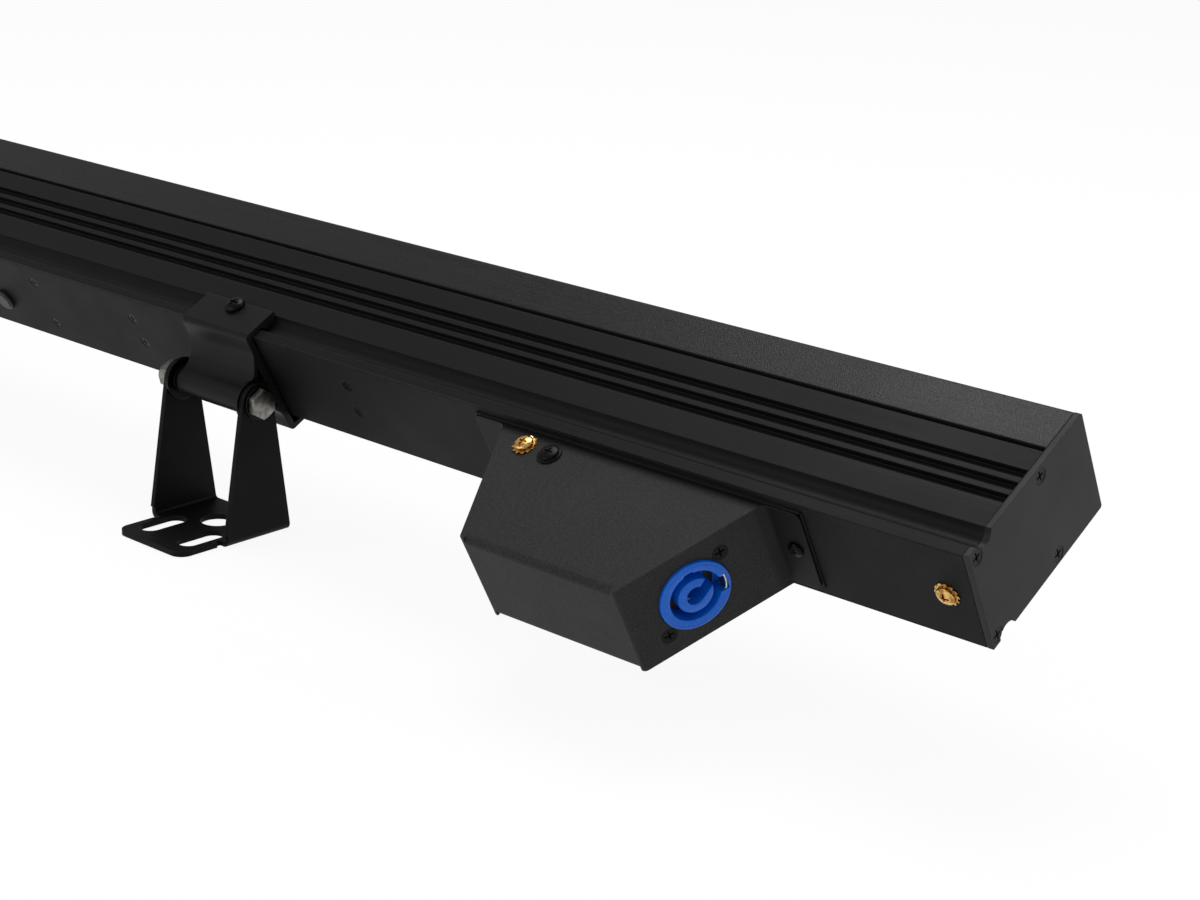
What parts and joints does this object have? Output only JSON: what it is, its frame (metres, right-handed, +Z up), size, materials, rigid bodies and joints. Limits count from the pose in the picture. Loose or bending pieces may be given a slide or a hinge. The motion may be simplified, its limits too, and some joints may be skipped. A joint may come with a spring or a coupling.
{
  "type": "led pixel bar",
  "caption": "Slim black finned aluminium light bar with slanted connector boxes on its back, held by sliding clamps with tilting screw-down feet.",
  "frame": {"origin": "on the mounting surface, directly below the tilt axis, midway along the bar", "axes": "+X along the bar towards the power inlet's end, +Y towards the light side, +Z up from the mounting surface"},
  "size_m": [1, 0.1156, 0.1076],
  "materials": {
    "profile_black": "satin",
    "sheet_black": "fine textured powder coat",
    "clamp_black": "matte",
    "foot_black": "matte powder coat",
    "rail_satin": "dark satin anodised",
    "zinc_steel": "zinc plated",
    "black_steel": "black oxide",
    "brass": "plain",
    "blue_plastic": "smooth moulded",
    "grey_plastic": "smooth moulded",
    "black_plastic": "moulded",
    "black_rubber": "moulded",
    "front_glass": "clear tempered",
    "lens_clear": "clear moulded",
    "board_white": "solder mask",
    "board_green": "solder mask",
    "part_dark": "moulded",
    "led_yellow": "cast resin",
    "raw_steel": "plain"
  },
  "bodies": {
    "bar": {"profile": "profile_black", "rear_cover": "sheet_black", "cover_straps": "raw_steel", "board_screws_flush": "black_steel", "board_spacers": "raw_steel", "driver_boards": "board_green", "driver_parts": "part_dark", "vent_plug": "black_plastic", "end_plate_right": "sheet_black", "end_plate_left": "sheet_black", "end_gaskets": "black_rubber", "end_plate_screws": "black_steel", "front_rail_upper": "rail_satin", "front_rail_lower": "rail_satin", "front_glass": "front_glass", "glass_gasket": "black_rubber", "led_board": "board_white", "leds": "led_yellow", "lens_strip": "lens_clear", "box_right": "sheet_black", "box_left": "sheet_black", "box_flange_screws": "black_steel", "cheek_screws": "black_steel", "ground_screws": "brass", "ground_washers": "brass", "cable_grommets": "black_rubber", "power_inlet": "blue_plastic", "power_outlet": "grey_plastic", "power_contacts": "raw_steel", "signal_inlet": "black_plastic", "signal_inlet_pins": "raw_steel", "signal_outlet": "black_plastic", "connector_screws": "black_steel"},
    "clamp_right": {"clamp_right": "clamp_black", "clamp_screw_right": "black_steel"},
    "clamp_left": {"clamp_left": "clamp_black", "clamp_screw_left": "black_steel"},
    "foot_right": {"foot_right": "foot_black", "tilt_bolt_right": "zinc_steel", "tilt_washers_right": "black_steel", "lock_nut_right": "zinc_steel"},
    "foot_left": {"foot_left": "foot_black", "tilt_bolt_left": "zinc_steel", "tilt_washers_left": "black_steel", "lock_nut_left": "zinc_steel"}
  },
  "joints": [
    {"name": "clamp_slide_right", "type": "slide", "parent": "bar", "child": "clamp_right", "axis": [1, 0, 0], "range_m": [-0.11, 0.095]},
    {"name": "clamp_slide_left", "type": "slide", "parent": "bar", "child": "clamp_left", "axis": [1, 0, 0], "range_m": [-0.095, 0.11]},
    {"name": "foot_tilt_right", "type": "hinge", "parent": "clamp_right", "child": "foot_right", "pos_m": [0.1775, 0, 0.053], "axis": [1, 0, 0], "range_deg": [-151, 29]},
    {"name": "foot_tilt_left", "type": "hinge", "parent": "clamp_left", "child": "foot_left", "pos_m": [-0.1775, 0, 0.053], "axis": [1, 0, 0], "range_deg": [-151, 29]}
  ]
}
